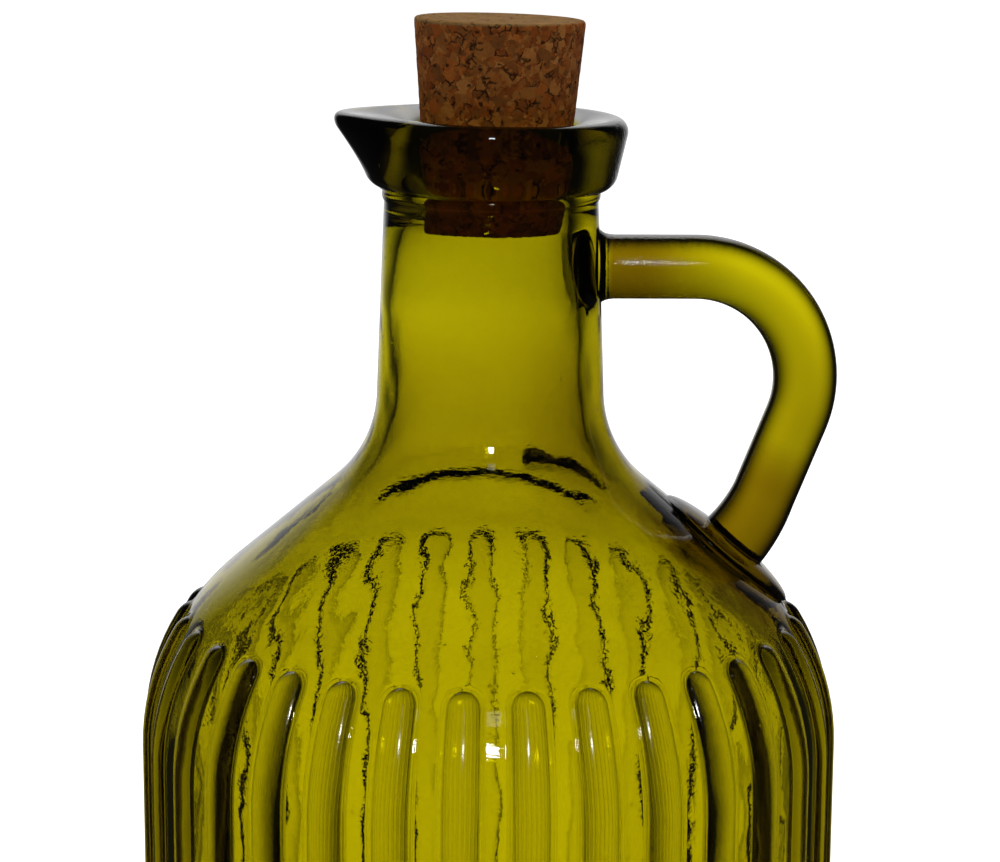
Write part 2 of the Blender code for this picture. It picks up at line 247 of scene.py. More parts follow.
def mouth_profile():
    """From the shoulder above the ribs up the neck, over the lip and down into the throat."""
    shoulder = [shoulder_point(RIB_TIP_TURN + turn) for turn in (0.09, 0.13, 0.18)]
    shoulder += [shoulder_point(CONE_SLOPE)]
    neck_curve = arc(neck_curve_centre(), NECK_CURVE_RADIUS, math.pi + CONE_SLOPE, math.pi, 14)
    cone = spread(shoulder[-1], neck_curve[0], 3)
    ring = [(neck_radius(RING_Z), RING_Z)]
    neck = spread(neck_curve[-1], ring[0], 7)
    ring += [(radius * MM, RING_Z + up * MM) for radius, up in NECK_RING]
    lip_foot = arc(LIP_FOOT_CENTRE, LIP_FOOT_ROUND, math.radians(-84), -LIP_FLARE, 9)
    rim_centre = (LIP_RADIUS - RIM_ROUND, RIM_Z - RIM_ROUND)
    rim = arc(rim_centre, RIM_ROUND, -LIP_FLARE, math.pi / 2, 11)
    lip_side = spread(lip_foot[-1], rim[0], 4)
    funnel = [(rim[-1][0] - inwards * MM, RIM_Z - down * MM) for inwards, down in FUNNEL]
    throat = [
        (THROAT_RADIUS + 0.65 * MM, RIM_Z - 2.3 * MM),
        (THROAT_RADIUS + 0.25 * MM, RIM_Z - 3.2 * MM),
        (THROAT_RADIUS, THROAT_Z),
    ]
    lip = lip_foot + lip_side + rim
    return shoulder + cone + neck_curve + neck + ring + lip + funnel + throat


def bump(value, centre, half_width):
    """1 at the centre, falling off softly on both sides."""
    return math.exp(-(((value - centre) / half_width) ** 2))


def tool_lip(verts):
    """Draws the spout out of the round lip, pinches it on both sides and tilts the lip."""
    lip_low = RIM_Z - 8.3 * MM
    groove_z = RIM_Z - 10.25 * MM
    turn = Matrix.Rotation(LIP_TILT, 4, "Y")
    pivot = Vector((0.0, 0.0, RIM_Z - 5.0 * MM))
    for vert in verts:
        radius = math.hypot(vert.co.x, vert.co.y)
        if vert.co.z < groove_z or radius < THROAT_RADIUS + 0.01 * MM:
            continue
        from_spout = abs(math.atan2(vert.co.y, -vert.co.x))
        lift = max(0.0, (vert.co.z - lip_low) / (RIM_Z - lip_low))
        outness = (radius - THROAT_RADIUS) / (LIP_RADIUS - RIM_ROUND - THROAT_RADIUS)
        draw = SPOUT_REACH * bump(from_spout, 0.0, SPOUT_HALF_ANGLE)
        draw -= PINCH_DEPTH * bump(from_spout, PINCH_ANGLE, PINCH_HALF_ANGLE)
        stretch = 1 + draw * lift**1.2 * min(1.0, outness) / radius
        vert.co.x *= stretch
        vert.co.y *= stretch
        vert.co = pivot + turn @ (vert.co - pivot)


mouth = spin_profile(glass_body, mouth_profile(), MOUTH_COLUMNS)
tool_lip(mouth)


# Bottle, inside. The air of the blowing made this wall, with no mould behind it. So it is smooth
# and slightly wavy, with two crumpled ridges where the neck opens into the shoulder.

WALL = 3.6 * MM
FLOOR_Z = 6.0 * MM
FLOOR_CROWN = 2.0 * MM  # the inner floor rises towards its middle
INNER_HEEL = 6.0 * MM
BORE_LOW_Z = WALL_HEIGHT + 81.5 * MM  # under the tight part that grips the cork
BORE_LOW_RADIUS = 10.4 * MM
NECK_INNER_RADIUS = 13.15 * MM
NECK_NARROWS_Z = WALL_HEIGHT + 63.0 * MM
NECK_OFFSETS = (-0.3 * MM, -0.8 * MM)  # of the hollow, at the lower and the upper end of the neck
OFFSET_RANGES = (  # heights over which the hollow moves to each offset, and then to the throat's
    (WALL_HEIGHT + 20 * MM, WALL_HEIGHT + 45 * MM),
    (WALL_HEIGHT + 50 * MM, WALL_HEIGHT + 68 * MM),
    (WALL_HEIGHT + 70 * MM, THROAT_Z),
)
INSIDE_COLUMNS = 220
WAVE = 0.09 * MM
WAVES_END = (WALL_HEIGHT + 65 * MM, WALL_HEIGHT + 71 * MM)  # the neck is even above this
RUCKS = [  # where a ridge lies: its top, its middle and end angles, and how far its ends droop
    (WALL_HEIGHT + 32.0 * MM, math.radians(90), math.radians(41), 4.7 * MM),
    (WALL_HEIGHT + 35.9 * MM, math.radians(51), math.radians(24), 1.6 * MM),
]
RUCK_HEIGHT = 1.9 * MM
RUCK_HALF_WIDTH = 1.0 * MM


def neck_inner_radius(z):
    share = min(1.0, max(0.0, (z - NECK_NARROWS_Z) / (BORE_LOW_Z - NECK_NARROWS_Z)))
    return NECK_INNER_RADIUS + (BORE_LOW_RADIUS - NECK_INNER_RADIUS) * share


def cavity_profile():
    """From the bore under the throat down the inside of the glass to the middle of the floor."""
    bore = [(10.49 * MM, BORE_LOW_Z + 2.4 * MM), (10.43 * MM, BORE_LOW_Z + 1.2 * MM)]
    centre = neck_curve_centre()
    curve_radius = centre[0] - NECK_INNER_RADIUS
    close = 0.6  # past this turn the rows are closer
    turns = [step / 14 * close for step in range(14)]
    turns += [close + step / 13 * (CONE_SLOPE - close) for step in range(14)]
    neck_curve = [on_circle(centre, curve_radius, math.pi + turn) for turn in turns]
    heights = [z for r, z in spread((0.0, BORE_LOW_Z), neck_curve[0], 20)]
    neck = [(neck_inner_radius(z), z) for z in [BORE_LOW_Z] + heights]
    turns = [CONE_SLOPE * (1 - step / 16) for step in range(17)]
    shoulder = [shoulder_point(turn, SHOULDER_RADIUS - WALL) for turn in turns]
    cone = spread(neck_curve[-1], shoulder[0], 49)
    cone = cone[:30] + cone[35::6]  # the rows are close where the ridges lie
    heel_centre = (LAND_RADIUS - WALL - INNER_HEEL, FLOOR_Z + INNER_HEEL)
    heel = arc(heel_centre, INNER_HEEL, 0, -math.pi / 2, 6)
    wall = spread(shoulder[-1], heel[0], 22)
    crown = [
        (heel_centre[0] * share, FLOOR_Z + FLOOR_CROWN * (1 - share**2) ** 2)
        for share in (0.8, 0.6, 0.4, 0.2, 0.0)
    ]
    return bore + neck + neck_curve + cone + shoulder + wall + heel + crown


def noise_of(place, across, along, lift=0.0):
    """Noise of swells this many millimetres across and along Z, at a place in millimetres."""
    return noise.noise(Vector((place.x / across, place.y / across, place.z / along + lift)))


def wave_inside(verts):
    """Long soft waves over the whole inside, and the crumpled ridges under the neck."""
    for vert in verts:
        radius = math.hypot(vert.co.x, vert.co.y)
        if vert.co.z > BORE_LOW_Z or radius < 10 * MM:
            continue
        place = vert.co / MM
        angle = math.atan2(vert.co.y, vert.co.x)
        loose = 1 - smooth(*WAVES_END, vert.co.z)
        shoulder = smooth(WALL_HEIGHT, WALL_HEIGHT + 15 * MM, vert.co.z)
        shoulder *= 1 - smooth(WALL_HEIGHT + 26 * MM, WALL_HEIGHT + 40 * MM, vert.co.z)
        relief = WAVE * noise_of(place, 7, 16)
        relief += WAVE * 1.5 * shoulder * noise_of(place, 5, 6)
        relief += WAVE * 0.6 * noise_of(place, 3, 5, 9)
        wander = noise.noise(Vector((place.x / 6, place.y / 6, 3.0)))
        crumple = noise_of(place, 1.1, 0.9)
        for top, middle, end, droop in RUCKS:
            share = abs(angle - middle) / end
            off = vert.co.z - top + droop * share**2 - (0.8 * wander + 0.5 * crumple) * MM
            height = RUCK_HEIGHT * (1 - smooth(0.7, 1.0, share)) * (1 + 0.5 * wander)
            relief -= height * bump(off, 0.0, RUCK_HALF_WIDTH * (1 + 0.8 * wander))
        vert.co.x *= 1 + loose * relief / radius
        vert.co.y *= 1 + loose * relief / radius


def shift_hollow(verts):
    """Sets the neck's hollow off centre one way, and the throat and the bore the other way."""
    for vert in verts:
        radius = math.hypot(vert.co.x, vert.co.y)
        neck, upper, tight = [smooth(low, high, vert.co.z) for low, high in OFFSET_RANGES]
        offset = NECK_OFFSETS[0] * neck
        offset += (NECK_OFFSETS[1] - offset) * upper
        offset += (THROAT_OFFSET - offset) * tight
        offset *= 1 - smooth(THROAT_RADIUS + 0.6 * MM, THROAT_RADIUS + 3 * MM, radius) * tight
        vert.co.x += offset


def open_edges_of(bm, verts):
    """The edges at both open ends of a turned surface."""
    inside = set(verts)
    return [e for e in bm.edges if e.is_boundary and inside.issuperset(e.verts)]


cavity = spin_profile(glass_body, cavity_profile(), INSIDE_COLUMNS)
wave_inside(cavity)
upper_mouth = [vert for vert in mouth if vert.co.z > RIM_Z - 7 * MM]
throat = [vert for vert in upper_mouth if vert.co.xy.length < LIP_RADIUS - 4 * MM]
shift_hollow(throat + cavity)
mouth_ends = open_edges_of(glass_body, mouth)
middle_z = (WALL_HEIGHT + RIM_Z) / 2
mouth_low = [e for e in mouth_ends if e.verts[0].co.z < middle_z]
mouth_high = [e for e in mouth_ends if e.verts[0].co.z > middle_z]
bmesh.ops.bridge_loops(glass_body, edges=open_edges_of(glass_body, ribbed) + mouth_low)
bmesh.ops.bridge_loops(glass_body, edges=mouth_high + open_edges_of(glass_body, cavity))


def finish_piece(name, bm, crease=math.radians(60)):
    """Makes a bmesh into a smooth-shaded object at the origin, sharp past the crease angle."""
    bmesh.ops.triangulate(bm, faces=bm.faces[:])
    bmesh.ops.recalc_face_normals(bm, faces=bm.faces[:])
    mesh = bpy.data.meshes.new(name)
    bm.to_mesh(mesh)
    bm.free()
    mesh.shade_smooth()
    mesh.set_sharp_from_angle(angle=crease)
    made = bpy.data.objects.new(name, mesh)
    bpy.context.scene.collection.objects.link(made)
    return made


bottle = finish_piece("bottle_glass", glass_body)


# Handle. A solid rod of the same glass, laid on hot. One end is pressed onto the neck, the rod is
# bent round, and the other end is pressed onto an oval pad on the shoulder. All of it is fused.

ROD_RADIUS = 4.55 * MM
ARM_Z = WALL_HEIGHT + 68.0 * MM
ARM_START_X = 13.1 * MM  # inside the wall of the neck
BEND_X = 28.9 * MM
BEND_RADIUS = 15.9 * MM
LEG_LEAN = math.radians(21.4)  # from the vertical, inwards
LEG_LENGTH = 12.0 * MM
FOOT_BEND_RADIUS = 24.0 * MM
ROOT_FLARE = 0.8 * MM
ROOT_STEPS = (  # in millimetres out of the neck's wall, and the share of the flare there
    (-0.5, 1.0),
    (0.0, 0.85),
    (0.3, 0.5),
    (0.7, 0.25),
    (1.2, 0.1),
    (1.9, 0.0),
)
FOOT_SWELL = 0.06 * MM  # how much wider the rod is at each step of its lower bend
FOOT_STEPS = ((0.6, 0.04), (1.2, 0.2), (2.7, 0.6))  # in millimetres: into the pad, and wider
PAD_HALF = (11.5 * MM, 8.5 * MM, 1.9 * MM)  # along the slope, across it, and out of it
PAD_CENTRE = (34.0 * MM, WALL_HEIGHT + 27.1 * MM)  # X and Z
ROD_SIDES = 48


def rod_path():
    """Centre line of the handle in the XZ plane with its radius: (x, z, radius)."""
    flare = [(ARM_START_X, 1.0)]
    flare += [(neck_radius(ARM_Z) + out * MM, share) for out, share in ROOT_STEPS]
    path = [(x, ARM_Z, ROD_RADIUS + ROOT_FLARE * share) for x, share in flare]
    path += [(x, z, ROD_RADIUS) for x, z in spread(path[-1][:2], (BEND_X, ARM_Z), 6)]
    centre = (BEND_X, ARM_Z - BEND_RADIUS)
    path += [(x, z, ROD_RADIUS) for x, z in arc(centre, BEND_RADIUS, math.pi / 2, -LEG_LEAN, 34)]
    leg_top = path[-1][:2]
    leg_end = (
        leg_top[0] - LEG_LENGTH * math.sin(LEG_LEAN),
        leg_top[1] - LEG_LENGTH * math.cos(LEG_LEAN),
    )
    path += [(x, z, ROD_RADIUS) for x, z in spread(leg_top, leg_end, 7)]
    foot_lean = math.pi / 2 - CONE_SLOPE
    centre = (
        leg_end[0] - FOOT_BEND_RADIUS * math.cos(LEG_LEAN),
        leg_end[1] + FOOT_BEND_RADIUS * math.sin(LEG_LEAN),
    )
    foot = arc(centre, FOOT_BEND_RADIUS, -LEG_LEAN, -foot_lean, 8)
    path += [(x, z, ROD_RADIUS + FOOT_SWELL * step) for step, (x, z) in enumerate(foot)]
    foot_x, foot_z, foot_radius = path[-1]
    for length, extra in FOOT_STEPS:
        path.append(
            (
                foot_x - length * MM * math.sin(foot_lean),
                foot_z - length * MM * math.cos(foot_lean),
                foot_radius + extra * MM,
            )
        )
    return path


def build_rod():
    """Carries a circle along the centre line, one extrusion a step, and closes both ends."""
    path = rod_path()
    across = Vector((0.0, 1.0, 0.0))
    frames = []
    for step, (x, z, radius) in enumerate(path):
        before = path[max(0, step - 1)]
        after = path[min(len(path) - 1, step + 1)]
        heading = Vector((after[0] - before[0], 0.0, after[1] - before[1])).normalized()
        turn = Matrix((across.cross(heading), across, heading)).transposed()
        frames.append(Matrix.LocRotScale(Vector((x, 0.0, z)), turn, Vector((radius,) * 3)))
    bm = bmesh.new()
    ring = bmesh.ops.create_circle(bm, segments=ROD_SIDES, radius=1.0)["verts"]
    bmesh.ops.transform(bm, matrix=frames[0], verts=ring)
    edges = bm.edges[:]
    for last, following in zip(frames, frames[1:]):
        grown = bmesh.ops.extrude_edge_only(bm, edges=edges)["geom"]
        ring = [item for item in grown if isinstance(item, bmesh.types.BMVert)]
        edges = [item for item in grown if isinstance(item, bmesh.types.BMEdge)]
        edges = [edge for edge in edges if all(vert in ring for vert in edge.verts)]
        bmesh.ops.transform(bm, matrix=following @ last.inverted(), verts=ring)
    bmesh.ops.holes_fill(bm, edges=[edge for edge in bm.edges if edge.is_boundary])
    return finish_piece("rod", bm)


def build_pad():
    """A flat oval gather of glass, square to the cone."""
    bm = bmesh.new()
    bmesh.ops.create_uvsphere(bm, u_segments=64, v_segments=32, radius=1.0)
    bmesh.ops.scale(bm, vec=PAD_HALF, verts=bm.verts)
    bmesh.ops.rotate(bm, matrix=Matrix.Rotation(math.pi / 2 - CONE_SLOPE, 3, "Y"), verts=bm.verts)
    bmesh.ops.translate(bm, vec=(PAD_CENTRE[0], 0.0, PAD_CENTRE[1]), verts=bm.verts)
    return finish_piece("pad", bm)


def fuse(vessel, pieces):
    """Unites the pieces with the vessel in one solid, and removes them."""
    group = bpy.data.collections.new("handle_pieces")
    bpy.context.scene.collection.children.link(group)
    for piece in pieces:
        bpy.context.scene.collection.objects.unlink(piece)
        group.objects.link(piece)
    union = vessel.modifiers.new("union", "BOOLEAN")
    union.operation = "UNION"
    union.operand_type = "COLLECTION"
    union.collection = group
    union.solver = "EXACT"
    graph = bpy.context.evaluated_depsgraph_get()
    fused = bpy.data.meshes.new_from_object(vessel.evaluated_get(graph))
    vessel.modifiers.clear()
    vessel.data = fused
    for piece in pieces:
        bpy.data.objects.remove(piece)
    bpy.data.collections.remove(group)


fuse(bottle, [build_rod(), build_pad()])


# Glass. The whole bottle is one melt of olive-green glass, and its colour comes from its thickness.
# The surface is fire-polished and keeps a fine ripple. It is a little dull on the crests of the
# ribs, which the mould chilled, and grainy where the rod was held.


class Wire:
    """A socket of a shader. Arithmetic on wires adds Math nodes to its tree."""

    def __init__(self, socket):
        self.socket = socket
        self.tree = socket.id_data

    def node(self, kind, settings, inputs, output=0):
        """Adds a node to the tree: its settings first, then the values or wires of its sockets."""
        made = self.tree.nodes.new(kind)
        for name, value in settings.items():
            if name == "stops":
                stops = made.color_ramp.elements
                for position, color in value[1:-1]:
                    stops.new(position)
                for stop, (position, color) in zip(stops, value):
                    stop.position = position
                    stop.color = (*color, 1.0)
            else:
                setattr(made, name, value)
        for name, value in inputs.items():
            if isinstance(value, Wire):
                self.tree.links.new(value.socket, made.inputs[name])
            else:
                made.inputs[name].default_value = value
        return Wire(made.outputs[output])

    def math(self, operation, *values):
        inputs = dict(enumerate((self, *values)))
        return self.node("ShaderNodeMath", {"operation": operation}, inputs)

    def __add__(self, other):
        return self.math("ADD", other)

    __radd__ = __add__

    def __sub__(self, other):
        return self.math("SUBTRACT", other)

    def __rsub__(self, other):
        return self * -1.0 + other

    def __mul__(self, other):
        return self.math("MULTIPLY", other)

    __rmul__ = __mul__

    def ramp(self, low, high):
        """0 below low, 1 above high, and smooth between."""
        settings = {"interpolation_type": "SMOOTHSTEP"}
        inputs = {"Value": self, "From Min": low, "From Max": high}
        return self.node("ShaderNodeMapRange", settings, inputs)

    def band(self, low, full, fade, end):
        """0 below low, 1 from full to fade, 0 above end, and smooth between."""
        return self.ramp(low, full) * (1.0 - self.ramp(fade, end))

    def parts(self):
        """The X, Y and Z of a vector."""
        split = self.node("ShaderNodeSeparateXYZ", {}, {"Vector": self}).socket.node
        return [Wire(output) for output in split.outputs]


def noise_at(place, scale, detail, output="Fac"):
    inputs = {"Vector": place, "Scale": scale, "Detail": detail}
    return place.node("ShaderNodeTexNoise", {}, inputs, output)


def cells_at(place, scale, output, **settings):
    inputs = {"Vector": place, "Scale": scale}
    return place.node("ShaderNodeTexVoronoi", settings, inputs, output)


def blend(factor, first, second, kind="MIX"):
    """The first colour at a factor of 0, and at 1 the second, or the product of both."""
    settings = {"data_type": "RGBA", "blend_type": kind}
    color_output = 2
    inputs = {"Factor": factor, "A": first, "B": second}
    return factor.node("ShaderNodeMix", settings, inputs, color_output)


def connect(wire, node, name):
    wire.tree.links.new(wire.socket, node.inputs[name])


def open_material(name):
    """A new material with its shader node and a wire from the object's coordinates."""
    made = bpy.data.materials.new(name)
    made.use_nodes = True
    nodes = made.node_tree.nodes
    place = Wire(nodes.new("ShaderNodeTexCoord").outputs["Object"])
    return made, nodes["Principled BSDF"], place


GLASS_TINT = (0.726, 0.70, 0.10, 1.0)
BROWN_TINT = (0.25, 0.165, 0.028, 1.0)  # where the hot glass was held and pressed on
LIP_TINT = (0.30, 0.30, 0.04, 1.0)
RIM_SHADE_TINT = (0.02, 0.02, 0.005, 1.0)  # painted shade: a dark band round the rim, where the glass is also thickest
GLASS_CLEAR = (0.836, 0.815, 0.0, 1.0)  # absorption per metre is the density times 1 less this
GLASS_DENSITY = 550.0
CREST_ROUGHNESS = 0.125
CREST_HEIGHTS = (0.2 * MM, 0.6 * MM)  # above the wall: where the dull crest starts and is full
CREST_ENDS = (WALL_HEIGHT + 20 * MM, WALL_HEIGHT + 24 * MM)
HELD_X = (15 * MM, 17 * MM, 20 * MM, 38 * MM)  # the part of the arm that was held hot
HELD_Z = (ARM_Z - 16 * MM, ARM_Z - 7 * MM)
PRESSED = (11 * MM, 26 * MM)  # from the middle of the pad: where its brown starts to fade and ends
WAIST = [WALL_HEIGHT + up * MM for up in (28, 38, 44, 72)]  # the brown lower part of the neck
LIP_START = (WALL_HEIGHT + 79 * MM, WALL_HEIGHT + 82 * MM)
# where the painted shade on the rim lies: the heights where it starts, and its radii
RIM_SHADE_START = (RIM_Z - 4.9 * MM, RIM_Z - 3.7 * MM)
RIM_SHADE_RADII = (16.8 * MM, 17.6 * MM)
UNEVEN = [WALL_HEIGHT + up * MM for up in (-4, 14, 40, 54)]  # the shoulder ripples more
SEED_SCALE = 330.0
RELIEF = 0.02 * MM  # of the surface, where its pattern rises by 1


def glass_relief(place, z, held, swell):
    """The fine ripple of the surface, the grain where it was held, and a few seeds."""
    ripple = noise_at(place, 330.0, 3.0)
    grain = noise_at(place, 1700.0, 3.0)
    flat = place.node("ShaderNodeMapping", {}, {"Vector": place, "Scale": (1.0, 1.0, 3.2)})
    crumple = noise_at(flat, 850.0, 2.0)
    shoulder = z.band(*UNEVEN)
    height = swell * (2.0 - held * 1.7) + ripple * (0.4 + shoulder * 0.6)
    height = height + crumple * (0.12 + shoulder * 0.4) + grain * (held * 4.0 + 0.1)
    chosen = cells_at(place, SEED_SCALE, "Color").parts()[0].ramp(0.8, 0.86)
    seed = (1.0 - cells_at(place, SEED_SCALE, "Distance").ramp(0.04, 0.09)) * chosen
    inputs = {"Strength": 1.0, "Distance": RELIEF, "Height": height - seed * 3.0}
    return place.node("ShaderNodeBump", {}, inputs)


def glass_tint(place, x, z, from_axis, held, swell):
    """Olive, browner where the glass was held and pressed on, darker up to the rim, and with
    painted shade in a dark band on the rim.
    """
    inputs = {0: place, 1: (PAD_CENTRE[0], 0.0, PAD_CENTRE[1])}
    from_pad = place.node("ShaderNodeVectorMath", {"operation": "DISTANCE"}, inputs, "Value")
    pressed = 1.0 - from_pad.ramp(*PRESSED)
    waist = z.band(*WAIST) * (0.32 + 0.2 * x.ramp(2 * MM, 13 * MM))
    brown = held.math("MAXIMUM", pressed).math("MAXIMUM", waist)
    lip = z.ramp(*LIP_START) * (0.66 + 0.2 * x.ramp(7 * MM, 12 * MM))
    # painted shade: the outer round of the rim is darkened towards near black
    band = z.ramp(*RIM_SHADE_START) * from_axis.ramp(*RIM_SHADE_RADII)
    tint = blend(brown * (0.8 + swell * 0.3), GLASS_TINT, BROWN_TINT)
    return blend(band * 0.55, blend(lip, tint, LIP_TINT), RIM_SHADE_TINT)


def olive_glass():
    made, shader, place = open_material("olive_green_glass")
    shader.inputs["IOR"].default_value = 1.52
    shader.inputs["Transmission Weight"].default_value = 1.0
    x, y, z = place.parts()
    inputs = {0: place, 1: (1.0, 1.0, 0.0)}
    flattened = place.node("ShaderNodeVectorMath", {"operation": "MULTIPLY"}, inputs)
    inputs = {0: flattened}
    from_axis = place.node("ShaderNodeVectorMath", {"operation": "LENGTH"}, inputs, "Value")
    outwards = from_axis - (LAND_RADIUS - SHOULDER_RADIUS)
    above = (z - WALL_HEIGHT).math("MAXIMUM", 0.0)
    raised = (outwards * outwards + above * above).math("SQRT") - SHOULDER_RADIUS
    crest = raised.ramp(*CREST_HEIGHTS) * (1.0 - z.ramp(*CREST_ENDS))
    held = x.ramp(*HELD_X[:2]) * z.ramp(*HELD_Z) * (1.0 - x.ramp(*HELD_X[2:]))
    swell = noise_at(place, 90.0, 1.0)
    connect(glass_tint(place, x, z, from_axis, held, swell), shader, "Base Color")
    connect(crest * CREST_ROUGHNESS, shader, "Roughness")
    connect(glass_relief(place, z, held, swell), shader, "Normal")
    inputs = {"Color": GLASS_CLEAR, "Density": GLASS_DENSITY}
    absorption = place.node("ShaderNodeVolumeAbsorption", {}, inputs)
    connect(absorption, made.node_tree.nodes["Material Output"], "Volume")
    return made


bottle.data.materials.clear()
bottle.data.materials.append(olive_glass())
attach(bottle, "root")
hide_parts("bottle")


# Stopper. A tapered plug turned from a block of pressed cork granules: angular flakes in several
# browns, with gaps between them that are painted near black as shade. Its upper rim is eased, its
# lower rim is worn ragged by the mouth, and it is only pushed in.

CORK_TOP_RADIUS = 12.0 * MM
CORK_LOW_RADIUS = 9.5 * MM
CORK_LENGTH = 29.2 * MM
CORK_LOW_X = 0.39 * MM
CORK_LOW_Z = WALL_HEIGHT + 73.5 * MM
CORK_LEAN = math.radians(1.36)  # towards the handle
CORK_BEVEL = 0.5 * MM
CORK_ROWS = 60
CHIP_DEPTH = 0.06 * MM
CRUMB_DEPTH = 0.5 * MM  # how far the lower rim is worn away
CRUMB_HEIGHT = 1.6 * MM  # how far up the wear reaches


def build_cork():
    bm = bmesh.new()
    bmesh.ops.create_cone(
        bm,
        cap_ends=True,
        segments=160,
        radius1=CORK_LOW_RADIUS,
        radius2=CORK_TOP_RADIUS,
        depth=CORK_LENGTH,
    )
    bmesh.ops.translate(bm, vec=(0.0, 0.0, CORK_LENGTH / 2), verts=bm.verts)
    ends = [e for e in bm.edges if abs(e.verts[0].co.z - e.verts[1].co.z) < 0.01 * MM]
    bmesh.ops.bevel(
        bm, geom=ends, offset=CORK_BEVEL, segments=3, profile=0.5, affect="EDGES", material=-1
    )
    for ring in range(4):
        caps = [f for f in bm.faces if len(f.verts) > 4]
        bmesh.ops.inset_region(bm, faces=caps, thickness=1.1 * MM, depth=0.0)
    sides = [e for e in bm.edges if abs(e.verts[0].co.z - e.verts[1].co.z) > CORK_LENGTH / 2]
    bmesh.ops.subdivide_edges(bm, edges=sides, cuts=CORK_ROWS, use_grid_fill=True)
    for vert in bm.verts:
        place = vert.co / MM
        chips = noise.noise(place * 0.9) + 0.5 * noise.noise(place * 2.1)
        rim = 1 - smooth(0.0, CRUMB_HEIGHT, vert.co.z)
        crumbs = noise.noise(place * 1.9 + Vector((7.0, 0.0, 0.0))) + noise.noise(place * 4.1)
        depth = CHIP_DEPTH * (chips - 0.9) + CRUMB_DEPTH * rim * min(0.0, crumbs - 0.1)
        outward = Vector((vert.co.x, vert.co.y, 0.0))
        if outward.length > 8 * MM:
            vert.co += outward.normalized() * depth
        if rim > 0.5:
            vert.co.z += 0.55 * MM * max(0.0, -crumbs)
    turn = Matrix.Translation((CORK_LOW_X, 0.0, CORK_LOW_Z)) @ Matrix.Rotation(CORK_LEAN, 4, "Y")
    bmesh.ops.transform(bm, matrix=turn, verts=bm.verts)
    return finish_piece("cork_stopper", bm)


TANS = (  # from the darkest flakes to the lightest
    (0.0, (0.09, 0.030, 0.007)),
    (0.35, (0.22, 0.072, 0.014)),
    (0.7, (0.35, 0.125, 0.024)),
    (1.0, (0.48, 0.20, 0.050)),
)
REDS = (
    (0.0, (0.15, 0.034, 0.006)),
    (0.5, (0.27, 0.068, 0.009)),
    (1.0, (0.43, 0.125, 0.018)),
)
# painted shade: the near-black colour of the gaps and pits between the flakes
GAP_SHADE_COLOR = (0.016, 0.006, 0.002, 1.0)
TOP_COLOR = (0.26, 0.17, 0.06, 1.0)  # the cut upper face is paler
LOW_END_TINT = (0.2, 0.13, 0.12, 1.0)  # the lower end is darker
FLAKE_SCALE = 640.0
CRUMB_SCALE = 1500.0


def granulated_cork():
    made, shader, place = open_material("granulated_cork")
    shader.inputs["Roughness"].default_value = 0.9
    shader.inputs["Specular IOR Level"].default_value = 0.12
    inputs = {"Factor": 0.0022, "A": place, "B": noise_at(place, 650.0, 3.0, "Color")}
    vector_output = 1
    bent = place.node("ShaderNodeMix", {"data_type": "VECTOR"}, inputs, vector_output)
    large = cells_at(bent, FLAKE_SCALE, "Color", distance="CHEBYCHEV").parts()
    small = cells_at(bent, CRUMB_SCALE, "Color", distance="CHEBYCHEV").parts()
    crumbs = large[2].ramp(0.45, 0.5)  # the flakes that are broken into small ones
    tone = large[0] * (1.0 - crumbs) + small[0] * crumbs
    hue = large[1] * (1.0 - crumbs) + small[1] * crumbs
    grain = noise_at(place, 2600.0, 3.0)
    blotch = noise_at(place, 900.0, 2.0)
    pits = noise_at(place, 520.0, 2.0)
    shade = tone * 0.7 + grain * 0.3 + blotch * 0.35 - 0.15
    tan = shade.node("ShaderNodeValToRGB", {"stops": TANS}, {"Fac": shade})
    red = shade.node("ShaderNodeValToRGB", {"stops": REDS}, {"Fac": shade})
    edge = cells_at(bent, FLAKE_SCALE, "Distance", feature="DISTANCE_TO_EDGE")
    gap = (1.0 - edge.ramp(0.0, 0.10)) * pits.ramp(0.5, 0.62)
    gap = gap.math("MAXIMUM", blotch.ramp(0.62, 0.72) * (1.0 - pits.ramp(0.4, 0.55)))
    z = place.parts()[2]
    top = z.ramp(CORK_LOW_Z + CORK_LENGTH - 0.5 * MM, CORK_LOW_Z + CORK_LENGTH - 0.2 * MM)
    darkened_end = 1.0 - z.ramp(CORK_LOW_Z + 4 * MM, CORK_LOW_Z + 7.5 * MM)
    color = blend(hue.ramp(0.45, 0.65), tan, red)
    # painted shade: the gaps and pits are carved by the bump below, and painted near black as the
    # shade in them
    color = blend(gap * 0.9, color, GAP_SHADE_COLOR)
    color = blend(top * 0.65, color, TOP_COLOR)
    color = blend(darkened_end, color, LOW_END_TINT, "MULTIPLY")
    connect(color, shader, "Base Color")
    height = grain * 0.25 + tone * 0.3 - gap
    inputs = {"Strength": 1.0, "Distance": 0.3 * MM, "Height": height}
    connect(place.node("ShaderNodeBump", {}, inputs), shader, "Normal")
    return made


cork = build_cork()
cork.data.materials.append(granulated_cork())
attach(cork, "root")
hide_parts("cork")


# Studio. A plain white floor, a soft light overhead, and a room that is bright behind the cruet and
# dim above. A small lamp and a faint window on the front side give the glass its highlights.

FLOOR_SIZE = 60.0
FLOOR_GLOW = 0.75  # keeps the floor plain white to the eye
WHITE = (1.0, 1.0, 1.0, 1.0)
FLOOR_COLOR = (0.8, 0.8, 0.8, 1.0)


def build_floor():
    bm = bmesh.new()
    bmesh.ops.create_grid(bm, x_segments=1, y_segments=1, size=FLOOR_SIZE / 2)
    made = finish_piece("floor", bm)
    white, shader, place = open_material("white_floor")
    shader.inputs["Base Color"].default_value = FLOOR_COLOR
    shader.inputs["Roughness"].default_value = 1.0
    shader.inputs["Emission Color"].default_value = WHITE
    seen = place.node("ShaderNodeLightPath", {}, {}, "Is Camera Ray")
    connect(seen * FLOOR_GLOW, shader, "Emission Strength")
    made.data.materials.append(white)
    made.visible_transmission = False
    made.visible_glossy = False
    return made


build_floor()

